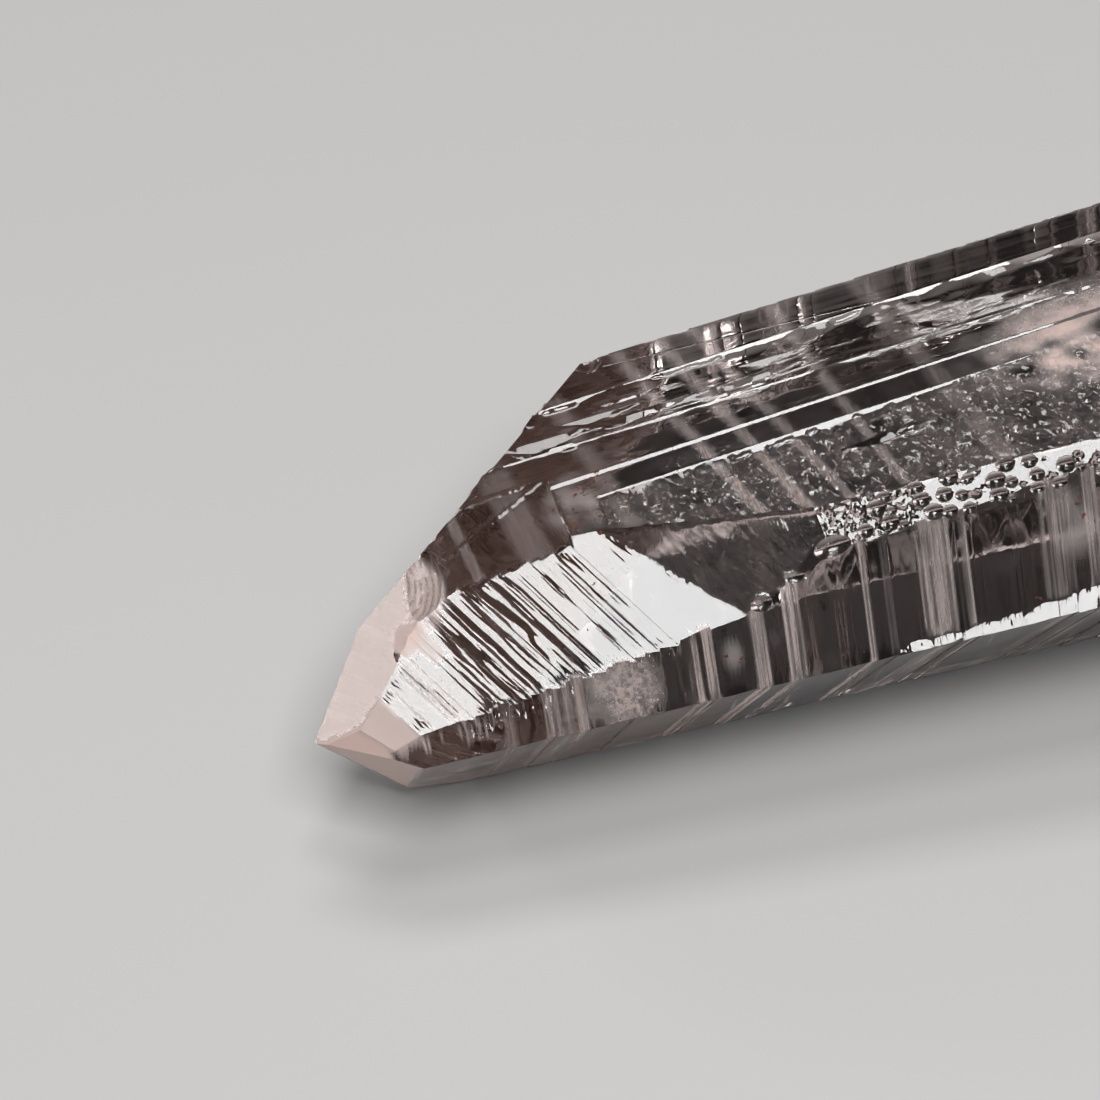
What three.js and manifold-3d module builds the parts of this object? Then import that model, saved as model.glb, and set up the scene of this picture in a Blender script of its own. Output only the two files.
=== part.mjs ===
// Lemurian quartz point: one clear, tapering crystal that lies on a long face.
// Millimetres, +Z up. The tip points towards -X and the broken base end towards +X.
// The origin is the middle of the box around the crystal, on the surface that it lies on.

import * as THREE from "three";
import { mergeVertices } from "three/addons/utils/BufferGeometryUtils.js";
import Module from "manifold-3d";

const wasm = await Module();
wasm.setup();

// The crystal is about 115 long. Its heart is the point of the long axis at half the length. The
// axis lies a little in front of the middle of the box.
const LENGTH = 115;
const HEART_HEIGHT = 10;
const LONG_AXIS_Y = -0.19;

// The faces are cut from a blank a little longer than the crystal, by blocks far bigger than it
const BLANK_LENGTH = LENGTH + 10;
const BLOCK = 160;
const RADIAN = Math.PI / 180;

// Main faces. A face is a flat cut through the block. Its turn goes round the long axis: 0 faces
// +Y, 90 faces up. Its lean is how far the face looks towards the tip. Its reach is the distance
// from the heart. Angles are in degrees.
const REST = { turn: 270, lean: 0, reach: HEART_HEIGHT };
const FRONT_LOW = { turn: 209.1, lean: 0.7, reach: 11.67 };
const FRONT_HIGH = { turn: 147, lean: 5.7, reach: 17.06 };
const TOP = { turn: 86.1, lean: 6.7, reach: 14.04 };
const BACK_HIGH = { turn: 30, lean: 3.8, reach: 15.21 };
const BACK_LOW = { turn: 330, lean: 2, reach: 14 };

// The tapering faces straighten out in the base half, in two bends at places of their own. The
// first bend leaves half of the lean and the second hardly any.
const STRAIGHT_LEAN = 0.7;
const STRAIGHTENING = [
  { face: FRONT_LOW, bends: [2, 20] },
  { face: FRONT_HIGH, bends: [1, 19] },
  { face: TOP, bends: [3, 23] },
  { face: BACK_HIGH, bends: [6, 26] },
  { face: BACK_LOW, bends: [-2, 16] },
];

// Faces of the point. Each stands over one side face and meets the long axis at 38 degrees or so.
const POINT_TOP = { turn: 90.9, lean: 36.3, reach: 35.21 };
const POINT_FACES = [
  POINT_TOP,
  { turn: 148.1, lean: 32.4, reach: 38.54 },
  { turn: 208.9, lean: 29.3, reach: 34.88 },
  { turn: 269.8, lean: 38.8, reach: 37.3 },
  { turn: 331.5, lean: 36.4, reach: 26.95 },
  { turn: 33, lean: 37, reach: 31.28 },
];

// Striated bevel between the top and the front, sunk below the ridge, with the slope that ends
// it, a narrow facet beside the point and the smooth terrace above it
const BEVEL = { turn: 120.7, lean: 9.3, reach: 17.21 };
const BEVEL_END = { turn: 126.8, lean: 15, reach: 20.54 };
const BEVEL_FOOT = { turn: 123.7, lean: 13.6, reach: 21.3 };
const STRIATIONS = { count: 15, firstX: -51.2, step: 0.98, sideways: -3.7, yaw: 33, depth: 0.1 };
const STRIATION_VARIETY = { x: 0.25, run: 0.2, depth: 0.5 };
const STRIATION_RUN = 0.75;
const TERRACE = { turn: 89.3, lean: 11.8, reach: 17.3 };
const TERRACE_END_X = -39.6;
const TERRACE_BACK_Y = 0.6;

// Pitted strip that breaks the ridge between the top and the front
const PITTED_STRIP = { turn: 125.8, lean: 8.1, reach: 17.93 };
const PIT_RADIUS = 0.48;
const PIT_SHAPE = [1.15, 1, 0.7];
const PIT_VARIETY = { x: 0.4, sideways: 0.22, radius: 0.25 };
const PIT_ROWS = [
  { sideways: -2.1, firstX: -22.4, lastX: 1.5, spacing: 1.35 },
  { sideways: -1.1, firstX: -21.8, lastX: -3, spacing: 1.5 },
  { sideways: -0.2, firstX: -20.6, lastX: -11, spacing: 1.8 },
];

// Growth rungs: ledges across the side faces, square to the long axis. The first list is what
// the photograph shows, and the others carry on at irregular gaps to the base end.
const RUNG_DEPTH = 0.06;
const RUNG_RUN = 1.5;
const RUNG_SHIFT = 0.15;
const RUNG_VARIETY = { depth: 0.4, run: 0.7 };
const RUNGS_SEEN = [-45.9, -43.2, -41.2, -38.2, -33.8, -33, -29.8, -27.6, -22.8, -21.4, -18.8,
  -17.2, -16.1, -11.1, -9.9, -8.3];
const RUNGS_HIDDEN = { firstX: -5.5, lastX: 50, gap: 2.6, swing: 1.3 };
const RUNG_FACES = [FRONT_LOW, FRONT_HIGH, BACK_HIGH, BACK_LOW];

// Ledges along the top, each running with the long axis: where its edge starts and ends, how
// deep its step is there and how wide the strip is that slopes back up in front of it
const TOP_LEDGES = [
  { x: [-43, 62], y: [6.3, 7.9], depth: [0.22, 0.3], width: 3.8 },
  { x: [-48, 44], y: [2.5, 2.8], depth: [0.26, 0.02], width: 2.6 },
  { x: [-46, 14], y: [-0.5, 0.8], depth: [0.16, 0.02], width: 1.6 },
  { x: [-37.2, -8], y: [-2.3, -1.2], depth: [0.42, 0.02], width: 2.3 },
  { x: [4, 62], y: [-5.5, -4.4], depth: [0.02, 0.34], width: 3.2 },
];
const LEDGE_SLOPE = 1.4;

// Cutting pieces stand this far out of the face they cut, and run on past the end of their cut
const CUT_HEIGHT = 4;
const OVERRUN = 1.3;

// Long slivers along the top, each a shallow trough with pointed ends: middle, length, width,
// depth and yaw. Their deepest point and their two side corners are off the middle.
const SLIVERS = [
  { x: -37.5, y: 3.3, length: 10, width: 1.7, depth: 0.26, yaw: -8 },
  { x: -33.5, y: 4.4, length: 11, width: 1.5, depth: 0.24, yaw: -7 },
  { x: -31, y: 3.5, length: 13, width: 1.3, depth: 0.24, yaw: -5 },
  { x: -28.6, y: 5.3, length: 9.5, width: 1.2, depth: 0.2, yaw: -8 },
  { x: -21.6, y: 4.9, length: 11, width: 1.7, depth: 0.26, yaw: -8 },
  { x: -23.5, y: 3.6, length: 8, width: 0.9, depth: 0.16, yaw: -4 },
  { x: -9.3, y: 4.5, length: 12, width: 3.2, depth: 0.3, yaw: -5 },
  { x: 3.5, y: 5.1, length: 9, width: 1.2, depth: 0.2, yaw: 2 },
  { x: 12, y: 4.4, length: 14, width: 1.6, depth: 0.24, yaw: 3 },
  { x: 27, y: 5.4, length: 12, width: 1.4, depth: 0.22, yaw: -3 },
  { x: 33, y: 4.2, length: 15, width: 1.3, depth: 0.2, yaw: 2 },
  { x: 43, y: 5, length: 10, width: 1.2, depth: 0.2, yaw: 4 },
  { x: -18, y: -4.6, length: 8, width: 0.9, depth: 0.16, yaw: -2 },
  { x: 18, y: -1.6, length: 11, width: 1, depth: 0.18, yaw: 2 },
];
const SLIVER_SKEW = { corners: 0.55, deepX: 0.4, deepY: 0.7 };

// Chips and scars. A chip is a shallow bowl: its middle, its half sizes along the length,
// across and down, and its turn about the upright.
const CRATER = { x: -49.35, y: -4.4, z: 17.75, half: [1.5, 3.1, 0.9], yaw: -17 };
const CRATER_RINGS = { count: 3, shrink: 0.26, deeper: 0.1, shift: [-0.12, -0.45, -0.1] };
const CHIPS = [
  { x: -34.4, y: 9.3, z: 20, half: [1.2, 1.1, 0.9], yaw: 0 },
  { x: -32.6, y: 9.9, z: 20.2, half: [0.9, 0.8, 0.6], yaw: 20 },
  { x: -25, y: -10.9, z: 20.8, half: [1.7, 0.8, 1], yaw: 5 },
  { x: -27.4, y: -11.6, z: 19.6, half: [1.2, 0.7, 0.9], yaw: -10 },
  { x: -29.6, y: -12, z: 18.2, half: [0.9, 0.6, 0.8], yaw: 0 },
  { x: -46.3, y: 0.9, z: 19.5, half: [1.3, 1, 0.9], yaw: 35 },
  { x: -44.4, y: 1.5, z: 19.9, half: [1, 0.8, 0.9], yaw: 10 },
  { x: -16.2, y: -10.9, z: 22.8, half: [1.1, 0.6, 0.7], yaw: 0 },
  { x: -8.6, y: -11.3, z: 24, half: [0.8, 0.5, 0.6], yaw: 0 },
  { x: 21, y: -11.7, z: 26.4, half: [2.2, 1.1, 1.4], yaw: 8 },
  { x: 35, y: 16.4, z: 13.3, half: [1.9, 1, 1.5], yaw: 0 },
  { x: 14, y: 9.6, z: 25.5, half: [1.6, 1, 0.9], yaw: 15 },
  { x: 30, y: -17.6, z: 16.6, half: [1.8, 0.9, 1.2], yaw: 0 },
];

// How finely the round cuts are faceted
const CHIP_FINENESS = 3;
const CRATER_FINENESS = 4;
const PIT_FINENESS = 1;
const HOLLOW_FINENESS = 13;

// Broken base end: one slanting break with shell-shaped hollows in it
const BASE_BREAK = { slopeUp: 6, slopeBack: -8, x: 56.62 };
const BASE_HOLLOWS = [
  { y: -7.5, z: 19, radius: 27, depth: 2.6 },
  { y: 9, z: 8, radius: 31, depth: 2.3 },
  { y: -12, z: 4, radius: 15, depth: 1.7 },
  { y: 11, z: 21, radius: 17, depth: 1.5 },
  { y: 1, z: 13, radius: 11, depth: 1.3 },
];

const quartz = new THREE.MeshStandardMaterial({
  color: 0xeadfdb,
  roughness: 0.05,
  metalness: 0,
  transparent: true,
  opacity: 0.45,
});

// A value from -1 to 1 that changes from one repeat to the next, so that no two are quite alike
function wave(count, row = 0) {
  return Math.sin(2.4 * count + 1.9 * row);
}

// Turns a closed three.js geometry into a solid that can be joined and cut
function solid(geometry) {
  const bare = geometry.clone();
  bare.deleteAttribute("normal");
  bare.deleteAttribute("uv");
  const welded = mergeVertices(bare, 1e-5);
  return new wasm.Manifold(new wasm.Mesh({
    numProp: 3,
    vertProperties: new Float32Array(welded.attributes.position.array),
    triVerts: new Uint32Array(welded.index.array),
  }));
}

// Turns a solid back into a flat-shaded geometry
function geometryOf(body) {
  const mesh = body.getMesh();
  const geometry = new THREE.BufferGeometry();
  geometry.setAttribute("position", new THREE.BufferAttribute(mesh.vertProperties, 3));
  geometry.setIndex(new THREE.BufferAttribute(mesh.triVerts, 1));
  geometry.computeVertexNormals();
  return geometry;
}

// Fuses solids into one
function joined(solids) {
  return solids.reduce((sum, next) => sum.add(next));
}

// The directions of a face: out of it, along it towards the base, and across it
function directions(face) {
  const turn = face.turn * RADIAN;
  const lean = face.lean * RADIAN;
  const out = new THREE.Vector3(
    -Math.sin(lean),
    Math.cos(lean) * Math.cos(turn),
    Math.cos(lean) * Math.sin(turn),
  );
  const across = new THREE.Vector3(0, Math.sin(turn), -Math.cos(turn));
  const along = new THREE.Vector3().crossVectors(across, out);
  return { out, across, along };
}

// The point of a face at a given x, so far sideways from the line over the heart
function pointOn(face, x, sideways) {
  const { out, across, along } = directions(face);
  const run = (x - out.x * face.reach) / along.x;
  return new THREE.Vector3(0, 0, HEART_HEIGHT)
    .addScaledVector(out, face.reach)
    .addScaledVector(along, run)
    .addScaledVector(across, sideways);
}

// Moves a geometry from the XY plane onto a face, with its +Z out of the face and turned about
// that +Z by a yaw in degrees
function onFace(geometry, face, x, sideways, yaw = 0) {
  const { out, across, along } = directions(face);
  return geometry
    .clone()
    .rotateZ(yaw * RADIAN)
    .applyMatrix4(new THREE.Matrix4().makeBasis(along, across, out))
    .translate(...pointOn(face, x, sideways));
}

// Everything outside a face, as one big block that stands on it
function outside(face) {
  const block = new THREE.BoxGeometry(BLOCK, BLOCK, BLOCK).translate(0, 0, BLOCK / 2);
  return solid(onFace(block, face, 0, 0));
}

// A wedge that cuts one low step into a face: deepest at the step's edge, it runs out to nothing
// on the side of the tip. The yaw turns the edge away from square to the long axis.
function wedgeOn(face, x, sideways, run, depth, yaw = 0) {
  const length = OVERRUN * run;
  const wedge = new THREE.BoxGeometry(length, BLOCK / 2, CUT_HEIGHT)
    .translate(-length / 2, 0, CUT_HEIGHT / 2)
    .rotateY(Math.atan2(depth, run))
    .translate(0, 0, -depth);
  return solid(onFace(wedge, face, x, sideways, yaw));
}

// How far a side face is from the long axis at a given x
function radiusAt(face, x) {
  const lean = face.lean * RADIAN;
  return (face.reach + Math.sin(lean) * x) / Math.cos(lean);
}

// A side face bent to another lean from a given x onwards
function bent(face, x, newLean) {
  const lean = newLean * RADIAN;
  const reach = Math.cos(lean) * radiusAt(face, x) - Math.sin(lean) * x;
  return { turn: face.turn, lean: newLean, reach };
}

// A side face in its three stretches, from the tip to the base
function stretches({ face, bends }) {
  const middle = bent(face, bends[0], (face.lean + STRAIGHT_LEAN) / 2);
  return [face, middle, bent(middle, bends[1], STRAIGHT_LEAN)];
}

// The three stretches of one of the side faces that straighten out
function stretchesOf(face) {
  return stretches(STRAIGHTENING.find((entry) => entry.face === face));
}

// The stretch of a side face that is the crystal's surface at a given x
function stretchAt(face, x) {
  return stretchesOf(face).reduce((best, next) => (
    radiusAt(next, x) < radiusAt(best, x) ? next : best));
}

// The crystal's plain body: the long side faces and the six faces of the point
function plainBody() {
  const faces = [REST, ...STRAIGHTENING.flatMap(stretches), ...POINT_FACES, BEVEL_FOOT];
  const block = new THREE.BoxGeometry(BLANK_LENGTH, BLOCK / 2, BLOCK / 2);
  return faces.reduce((body, face) => body.subtract(outside(face)), solid(block));
}

// An upright block between two x and two y values, to bound another cut
function slab(x0, x1, y0, y1) {
  return solid(new THREE.BoxGeometry(x1 - x0, y1 - y0, BLOCK)
    .translate((x0 + x1) / 2, (y0 + y1) / 2, 0));
}

// The striations of the bevel: a flight of low steps that cross it aslant
function striations() {
  const { count, firstX, step, sideways, yaw, depth } = STRIATIONS;
  const steps = [];
  for (let number = 0; number < count; number += 1) {
    const change = wave(number);
    const x = firstX + step * (number + STRIATION_VARIETY.x * change);
    const run = step * (STRIATION_RUN + STRIATION_VARIETY.run * change);
    const drop = depth * (1 + STRIATION_VARIETY.depth * change);
    steps.push(wedgeOn(BEVEL, x, sideways, run, drop, yaw));
  }
  return steps;
}

// The sunk bevel, and the terrace between it and the top. The pitted strip takes off the rest
// of the ridge, as far as it is still above the strip.
function ridgeCuts() {
  const bevel = joined([outside(BEVEL), ...striations()]).intersect(outside(BEVEL_END));
  const terrace = outside(TERRACE).intersect(slab(-BLOCK, TERRACE_END_X, -BLOCK, TERRACE_BACK_Y));
  return joined([bevel, terrace, outside(PITTED_STRIP)]);
}

// Where the rungs are along the crystal
function rungStations() {
  const stations = [...RUNGS_SEEN];
  const { firstX, lastX, gap, swing } = RUNGS_HIDDEN;
  for (let x = firstX, count = 0; x < lastX; count += 1) {
    stations.push(x);
    x += gap + swing * wave(count);
  }
  return stations;
}

// All rungs. Each is a little deeper or shallower than the last, and shifts from face to face.
function ladder() {
  const cuts = [];
  rungStations().forEach((x, count) => {
    RUNG_FACES.forEach((face, side) => {
      const change = wave(count, side);
      const run = RUNG_RUN + RUNG_VARIETY.run * change;
      const depth = RUNG_DEPTH * (1 + RUNG_VARIETY.depth * change);
      cuts.push(wedgeOn(stretchAt(face, x), x + RUNG_SHIFT * side, 0, run, depth));
    });
  });
  return joined(cuts);
}

// A ledge along the top: its section is a long thin triangle with a steep back. The bar that
// cuts it is sunk more at one end than at the other, so the ledge narrows as it gets lower.
function topLedge({ x, y, depth, width }) {
  const deep = Math.max(...depth);
  const section = new THREE.Shape([
    new THREE.Vector2(CUT_HEIGHT * LEDGE_SLOPE, CUT_HEIGHT),
    new THREE.Vector2(-deep * LEDGE_SLOPE, -deep),
    new THREE.Vector2(-OVERRUN * width, (OVERRUN - 1) * deep),
    new THREE.Vector2(-OVERRUN * width, CUT_HEIGHT),
  ]);
  const length = x[1] - x[0];
  const yaw = Math.atan2(y[1] - y[0], length) / RADIAN;
  const bar = new THREE.ExtrudeGeometry(section, { depth: length, bevelEnabled: false, steps: 1 });
  // The section's sideways becomes across, its height becomes out, and the bar runs along
  bar.applyMatrix4(new THREE.Matrix4().makeBasis(
    new THREE.Vector3(0, 1, 0),
    new THREE.Vector3(0, 0, 1),
    new THREE.Vector3(1, 0, 0),
  ));
  bar.rotateY(Math.atan2(depth[1] - depth[0], length));
  bar.translate(0, 0, deep - depth[0]);
  const cuts = stretchesOf(TOP).map((face) => barOn(bar, face, x[0], y[0], yaw));
  return joined(cuts);
}

// Lays a long piece on a face with its own origin at a given x and y
function barOn(bar, face, x, y, yaw) {
  const middle = pointOn(face, x, 0);
  const sideways = (y - middle.y) / directions(face).across.y;
  return solid(onFace(bar, face, x, sideways, yaw));
}

// A sliver: a long trough with four flat sides
function sliver({ x, y, length, width, depth, yaw }) {
  const { corners, deepX, deepY } = SLIVER_SKEW;
  const skew = new THREE.Matrix4().makeShear(0, 0, corners, 0, deepX, deepY);
  const spindle = new THREE.OctahedronGeometry(1)
    .applyMatrix4(skew)
    .scale(length / 2, width / 2, depth);
  return barOn(spindle, stretchAt(TOP, x), x, y, yaw);
}

// A bowl with its middle at a point
function bowl({ x, y, z, half, yaw }, fineness) {
  return solid(new THREE.IcosahedronGeometry(1, fineness)
    .scale(...half)
    .rotateZ(yaw * RADIAN)
    .translate(x, y, z));
}

// The shell-like scar beside the point: bowls inside each other, each a little deeper
function crater() {
  const { count, shrink, deeper, shift } = CRATER_RINGS;
  const [along, across, down] = CRATER.half;
  const rings = [];
  for (let ring = 0; ring < count; ring += 1) {
    const share = 1 - shrink * ring;
    rings.push(bowl({
      ...CRATER,
      x: CRATER.x + shift[0] * ring,
      y: CRATER.y + shift[1] * ring,
      z: CRATER.z + shift[2] * ring,
      half: [along * share, across * share, down * (1 + deeper * ring)],
    }, CRATER_FINENESS));
  }
  return joined(rings);
}

// Etch pits in irregular rows on the pitted strip
function pits() {
  const cuts = [];
  PIT_ROWS.forEach(({ sideways, firstX, lastX, spacing }, row) => {
    for (let x = firstX, count = 0; x < lastX; x += spacing, count += 1) {
      const change = wave(count, row);
      const radius = PIT_RADIUS * (1 + PIT_VARIETY.radius * change);
      const pit = new THREE.IcosahedronGeometry(radius, PIT_FINENESS).scale(...PIT_SHAPE);
      const pitX = x + PIT_VARIETY.x * change;
      cuts.push(solid(onFace(pit, PITTED_STRIP, pitX, sideways + PIT_VARIETY.sideways * change)));
    }
  });
  return joined(cuts);
}

// The broken base end, slanting, with its hollows
function baseBreak() {
  const end = new THREE.BoxGeometry(BLOCK, BLOCK, BLOCK)
    .translate(BLOCK / 2, 0, 0)
    .rotateY(BASE_BREAK.slopeUp * RADIAN)
    .rotateZ(BASE_BREAK.slopeBack * RADIAN)
    .translate(BASE_BREAK.x, 0, HEART_HEIGHT);
  const hollows = BASE_HOLLOWS.map(({ y, z, radius, depth }) => solid(
    new THREE.IcosahedronGeometry(radius, HOLLOW_FINENESS)
      .translate(BASE_BREAK.x + radius - depth, y, z)));
  return joined([solid(end), ...hollows]);
}

// The whole crystal: the plain body with every cut taken out of it
function quartzPoint() {
  const cuts = [
    ridgeCuts(),
    ladder(),
    joined(TOP_LEDGES.map(topLedge)),
    joined(SLIVERS.map(sliver)),
    crater(),
    joined(CHIPS.map((chip) => bowl(chip, CHIP_FINENESS))),
    pits(),
    baseBreak(),
  ];
  const body = cuts.reduce((rest, cut) => rest.subtract(cut), plainBody());
  const mesh = new THREE.Mesh(geometryOf(body), quartz);
  mesh.position.y = LONG_AXIS_Y;
  mesh.name = "quartz_point";
  return mesh;
}

const crystal = new THREE.Group();
crystal.add(quartzPoint());

export default crystal;
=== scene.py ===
import math
import random

import bmesh
import bpy
import numpy as np
from mathutils import Matrix, Vector, noise
from mathutils.bvhtree import BVHTree
from mathutils.geometry import delaunay_2d_cdt
from mathutils.kdtree import KDTree


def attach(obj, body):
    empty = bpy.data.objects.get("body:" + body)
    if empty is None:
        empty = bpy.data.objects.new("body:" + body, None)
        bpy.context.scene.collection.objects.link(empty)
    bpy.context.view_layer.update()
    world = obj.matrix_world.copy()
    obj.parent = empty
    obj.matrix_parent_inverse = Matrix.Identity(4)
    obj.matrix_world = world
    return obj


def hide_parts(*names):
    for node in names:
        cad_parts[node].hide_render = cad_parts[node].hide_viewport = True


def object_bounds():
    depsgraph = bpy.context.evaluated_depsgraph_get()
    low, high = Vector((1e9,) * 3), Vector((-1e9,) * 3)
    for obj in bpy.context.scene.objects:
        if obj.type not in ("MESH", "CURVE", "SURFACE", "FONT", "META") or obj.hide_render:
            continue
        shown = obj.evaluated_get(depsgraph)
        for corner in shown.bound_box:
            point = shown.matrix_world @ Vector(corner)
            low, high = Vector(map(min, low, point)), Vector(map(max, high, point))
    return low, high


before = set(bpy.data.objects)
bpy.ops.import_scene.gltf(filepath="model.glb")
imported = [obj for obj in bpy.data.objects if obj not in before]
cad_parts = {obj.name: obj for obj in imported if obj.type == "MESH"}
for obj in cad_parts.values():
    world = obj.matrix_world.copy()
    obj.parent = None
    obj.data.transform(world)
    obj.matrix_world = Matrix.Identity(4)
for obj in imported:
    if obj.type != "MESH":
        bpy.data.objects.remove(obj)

# A lemurian quartz point on a pale floor. Lengths in the making of the crystal are millimetres,
# because its features are that size; they become metres when a mesh is made.
MM = 0.001
cad_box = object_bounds()
scene = bpy.context.scene

# Camera
CAMERA_AT = Vector((-75.52, -121.68, 163.93)) * MM
CAMERA_AIM = Vector((-36.45, 10.21, 0)) * MM
camera = bpy.data.objects.new("camera", bpy.data.cameras.new("camera"))
scene.collection.objects.link(camera)
camera.data.lens = 100
camera.data.sensor_width = 36
camera.data.clip_start = 0.01
camera.data.clip_end = 20
camera.location = CAMERA_AT
camera.rotation_euler = (CAMERA_AIM - CAMERA_AT).to_track_quat("-Z", "Y").to_euler()
scene.camera = camera


# Faces of the crystal
def facing(turn, lean):
    """The way a face looks: its turn about the long axis from +Y, and its lean to the tip."""
    t, a = math.radians(turn), math.radians(lean)
    return np.array((-math.sin(a), math.cos(a) * math.cos(t), math.cos(a) * math.sin(t)))


# Each family of faces: the way it looks, how far a face in it may look aside, the direction of
# its rows of points from the long axis, the gap between rows, the gap along a row, and the gap
# along its edges. The crater is known by its place alone.
FAMILIES = {
    "bevel": (facing(120.7, 9.3), 9.5, 123, 0.055, 0.6, 0.3),
    "slope": (facing(126.8, 15), 4, 0, 0.2, 0.2, 0.3),
    "foot": (facing(123.7, 13.6), 3, 123, 0.2, 0.5, 0.4),
    "strip": (facing(125.8, 8.1), 4, 0, 0.14, 0.14, 0.25),
    "terrace": (facing(89.3, 11.8), 4, 90, 0.16, 0.3, 0.3),
    "top": (facing(86.1, 4), 14, 0, 0.13, 0.55, 0.4),
    "front_high": (facing(147, 3.2), 8, 90, 0.12, 0.9, 0.3),
    "front_low": (facing(209.1, 0.7), 8, 90, 0.24, 1.2, 0.5),
    "back_high": (facing(30, 2.2), 8, 90, 0.24, 1.2, 0.5),
    "back_low": (facing(330, 1.3), 8, 90, 0.24, 1.2, 0.5),
    "rest": (facing(270, 0), 6, 90, 0.8, 1.2, 0.6),
    "point": (facing(90.9, 36.3), 3, 0, 0.45, 0.45, 0.5),
    "crater": (facing(90.9, 36.3), 0, 0, 0.16, 0.16, 0.25),
}
# The same last four values for the broken base, and for pits and steps outside every family
BASE_SPACING = (0, 1.3, 1.3, 1.2)
OTHER_SPACING = (0, 0.6, 0.6, 0.6)
# The gap both ways where the surface is etched or otherwise fine
FINE_GAP = 0.17
# How etched or cloudy a place is at least to be fine
FINE_FROM = 0.1
# The least and the greatest x of a face that may belong to a family
REACHES = {"bevel": (-60, -34), "foot": (-60, -34), "slope": (-60, -27), "terrace": (-60, -39.5),
           "strip": (-27, 60)}
ANYWHERE = (-60, 60)
TERRACE_REAR = 0.8
# Faces that look this nearly the same way as a face of the point belong to it
SAME_LOOK = 0.999
# Faces from this x on that look this much along it are the broken base
BASE_FROM = 53
BASE_LOOK = 0.3
# The crater lies above this height
CRATER_FROM = 15
# Points of the solid that are this close together are one
TOUCHING = 0.006
# Triangles belong to one flat piece up to this angle in degrees, and slivers always do
FLAT_ANGLE = 0.5
SLIVER = 2e-5
TINY = 1e-12
# Points of a face keep this share of the gap from its edges
CLEARANCE = 0.45
# A face gets rows of points if it is at least this share of a gap wide
LEAST_SPAN = 0.8
# How many points are compared with the edges at a time
CHUNK = 4000
POINT_LOOKS = [facing(*face) for face in (
    (90.9, 36.3), (148.1, 32.4), (208.9, 29.3), (269.8, 38.8), (331.5, 36.4), (33, 37))]


# The etched part of the top begins at this x and ends at this y or farther back. A second,
# weaker patch lies between two ledges.
ETCH_FROM = -38.5
ETCH_REAR = -2.35
ETCH_FADE = 3
SECOND_X = (-34, -24.5)
SECOND_Y = (-2.1, -0.7)
SECOND_SHARE = 0.7


def etched(x, y):
    """How strongly the top is etched at a place, from 0 to 1: the front half behind the ridge."""
    start = np.clip((x - ETCH_FROM) / ETCH_FADE, 0, 1)
    ragged = 0.12 * np.sin(2.3 * x) * np.sin(0.7 * x)
    rear = np.maximum(ETCH_REAR, -2.6 + 0.035 * (x + 36.5)) + ragged
    part = start * np.clip((rear - y) / 0.4, 0, 1)
    first, last = SECOND_X
    front, back = SECOND_Y
    gap = np.clip((x - first) / ETCH_FADE, 0, 1) * np.clip((last - x) / ETCH_FADE, 0, 1)
    second = SECOND_SHARE * gap * np.clip((back - y) / 0.5, 0, 1) * (y > front)
    return np.maximum(part, second)


# The middle and the reach of the cloud, in x and z
CLOUD_AT = (-38.3, 14.2)
CLOUD_REACH = (2.4, 2.9)


def cloudy(p):
    """How near a place on the front is to the middle of the cloud, from 0 to 1."""
    away_x = (p[:, 0] - CLOUD_AT[0]) / CLOUD_REACH[0]
    away_z = (p[:, 2] - CLOUD_AT[1]) / CLOUD_REACH[1]
    return np.clip(1 - np.hypot(away_x, away_z), 0, 1)


# The turned facet low on the front: the x where it begins, and the height of its upper edge
# there and how that rises
FLAW_FROM = -23.2
FLAW_EDGE = 14.3
FLAW_RISE = 0.127


def above_flaw(p):
    """The height in mm over the upper edge of the slightly turned facet low on the front."""
    x = p[:, 0]
    edge = FLAW_EDGE + FLAW_RISE * (x - FLAW_FROM) - 0.35 * np.clip(x + 3, 0, None)
    edge += 0.05 * np.clip(x + 14.8, 0, 12) - 0.55 * np.clip(-21.2 - x, 0, 2)
    return p[:, 2] - edge - 0.12 * np.sin(2.1 * x) * np.sin(0.9 * x + 1)


def on_flaw(p):
    """Which points are on the turned facet low on the front."""
    return (above_flaw(p) < 0) & (p[:, 0] > FLAW_FROM) & (p[:, 1] < 0)


def fine_front(p):
    """Where the front has close points: in the cloud and at the edge of the turned facet."""
    return np.maximum(cloudy(p), (np.abs(above_flaw(p)) < 0.35) & (p[:, 0] > -24))


# Where the points of a face lie closer together
FINE_PARTS = {"top": lambda p: etched(p[:, 0], p[:, 1]), "front_high": fine_front}


def axes(look, yaw):
    """The direction of the rows on a face and the direction across them."""
    along = np.array((1.0, 0, 0)) - look[0] * look
    if np.linalg.norm(along) < 0.2:
        along = np.array((0, 1.0, 0)) - look[1] * look
    along /= np.linalg.norm(along)
    turn = math.radians(yaw)
    row = math.cos(turn) * along + math.sin(turn) * np.cross(look, along)
    return row, np.cross(look, row)


# The round hollow near the tip: its middle and its reach in x and y, and the corner of its arcs
CRATER_AT = (-49.4, -4.6)
CRATER_REACH = (1.8, 2.6)
ARCS_AT = (-50.7, -3.3)
ARCS_CLOSE = 17


def crater_reach(x, y):
    """0 in the middle of the round hollow near the tip, 1 at its rim."""
    return np.hypot((x - CRATER_AT[0]) / CRATER_REACH[0], (y - CRATER_AT[1]) / CRATER_REACH[1])


def crater_rings(p):
    """Waves, from -1 to 1, in arcs around a corner of the hollow near the tip."""
    away = np.hypot(p[:, 0] - ARCS_AT[0], (p[:, 1] - ARCS_AT[1]) / 1.5)
    return np.sin(ARCS_CLOSE * away)


def spacing(name):
    """Turn of the rows, gap between rows, gap along a row and gap along edges of a family."""
    if name in FAMILIES:
        return FAMILIES[name][2:]
    return BASE_SPACING if name == "base" else OTHER_SPACING


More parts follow.
